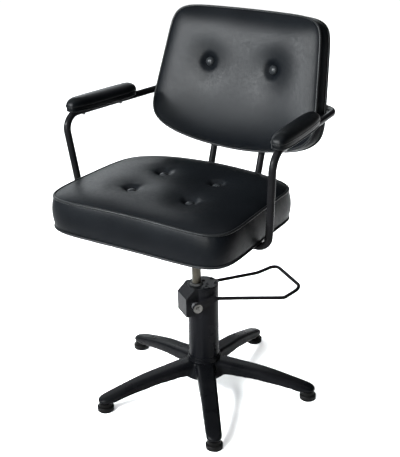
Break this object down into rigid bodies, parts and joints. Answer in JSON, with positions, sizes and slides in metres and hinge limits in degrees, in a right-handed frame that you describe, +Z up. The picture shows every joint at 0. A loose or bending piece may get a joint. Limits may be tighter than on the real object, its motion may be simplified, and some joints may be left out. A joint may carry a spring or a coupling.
{
  "type": "styling chair",
  "caption": "Hair salon styling chair: buttoned black seat and curved back on a bent tube frame with padded arms, foot-pumped hydraulic column and five-arm base.",
  "frame": {"origin": "on the floor at the axis of the column", "axes": "+Z up, the sitter looks towards -Y, the sitter's left is +X"},
  "size_m": [0.6352, 0.6365, 1.008],
  "materials": {
    "cast_paint": "satin black cast finish",
    "column_paint": "satin black paint",
    "tube_paint": "gloss black powder coat",
    "glide_rubber": "matt black",
    "seal_rubber": "matt black",
    "zinc_steel": "zinc plated",
    "rod_steel": "dull ground steel",
    "bright_steel": "bright plated",
    "guide_bronze": "plain bearing bronze",
    "cap_plastic": "matt black",
    "plywood": "raw plywood",
    "lining": "black non-woven cloth",
    "seat_leather": "satin black upholstery leather",
    "pad_leather": "satin black upholstery leather",
    "button_leather": "satin black upholstery leather",
    "piping_leather": "satin black upholstery leather"
  },
  "bodies": {
    "base": {"base_hub": "cast_paint", "base_arms": "cast_paint", "glide_1": "glide_rubber", "glide_2": "glide_rubber", "glide_3": "glide_rubber", "glide_4": "glide_rubber", "glide_5": "glide_rubber", "glide_studs": "zinc_steel", "column_collar": "cast_paint", "column_tube": "column_paint", "base_washer": "zinc_steel", "base_nut": "zinc_steel", "column_cap": "cast_paint", "cap_screws": "zinc_steel", "filler_plug": "cast_paint", "rod_guide": "guide_bronze", "wiper_seal": "seal_rubber", "lift_cylinder": "zinc_steel", "pump_barrel": "zinc_steel", "pump_head": "cast_paint"},
    "pedal": {"rocker_shaft": "rod_steel", "rocker_yoke": "zinc_steel", "pedal_lever_left": "tube_paint", "pedal_lever_right": "tube_paint", "pedal_loop": "tube_paint", "shaft_spacers": "zinc_steel", "shaft_discs": "bright_steel", "shaft_bolts": "bright_steel"},
    "plunger": {"pump_plunger": "rod_steel"},
    "piston": {"piston_rod": "rod_steel", "piston_head": "seal_rubber"},
    "seat": {"swivel_socket": "tube_paint", "mount_plate": "tube_paint", "plate_bolts": "zinc_steel", "seat_cross_tube": "tube_paint", "arm_tube_left": "tube_paint", "arm_tube_right": "tube_paint", "rear_cross_tube": "tube_paint", "back_upright_left": "tube_paint", "back_upright_right": "tube_paint", "upright_caps": "cap_plastic", "seat_board": "plywood", "seat_underside": "lining", "seat_cushion": "seat_leather", "seat_buttons": "button_leather", "seat_piping_top": "piping_leather", "seat_piping_bottom": "piping_leather", "back_cushion": "seat_leather", "back_buttons": "button_leather", "back_board": "plywood", "back_rear_panel": "seat_leather", "back_piping_front": "piping_leather", "back_piping_rear": "piping_leather", "back_bolts": "zinc_steel", "arm_pad_left": "pad_leather", "arm_pad_base_left": "plywood", "arm_pad_right": "pad_leather", "arm_pad_base_right": "plywood", "arm_pad_screws": "zinc_steel"}
  },
  "joints": [
    {"name": "lift", "type": "slide", "parent": "base", "child": "piston", "axis": [0, 0, 1], "range_m": [-0.13, 0.01]},
    {"name": "swivel", "type": "hinge", "parent": "piston", "child": "seat", "pos_m": [-0.01061, -0.01515, 0.5], "axis": [0, 0, 1], "continuous": true},
    {"name": "pedal_press", "type": "hinge", "parent": "base", "child": "pedal", "pos_m": [-0.02122, -0.03031, 0.278], "axis": [-0.8192, 0.5736, 0], "range_deg": [0, 20], "stiffness_Nm_per_rad": 10, "springref_deg": -11.46},
    {"name": "plunger_stroke", "type": "slide", "parent": "base", "child": "plunger", "axis": [0, 0, 1], "range_m": [-0.0183, 0]}
  ],
  "couplings": [
    {"joint": "plunger_stroke", "follows": "pedal_press", "m_per_rad": -0.05173}
  ]
}
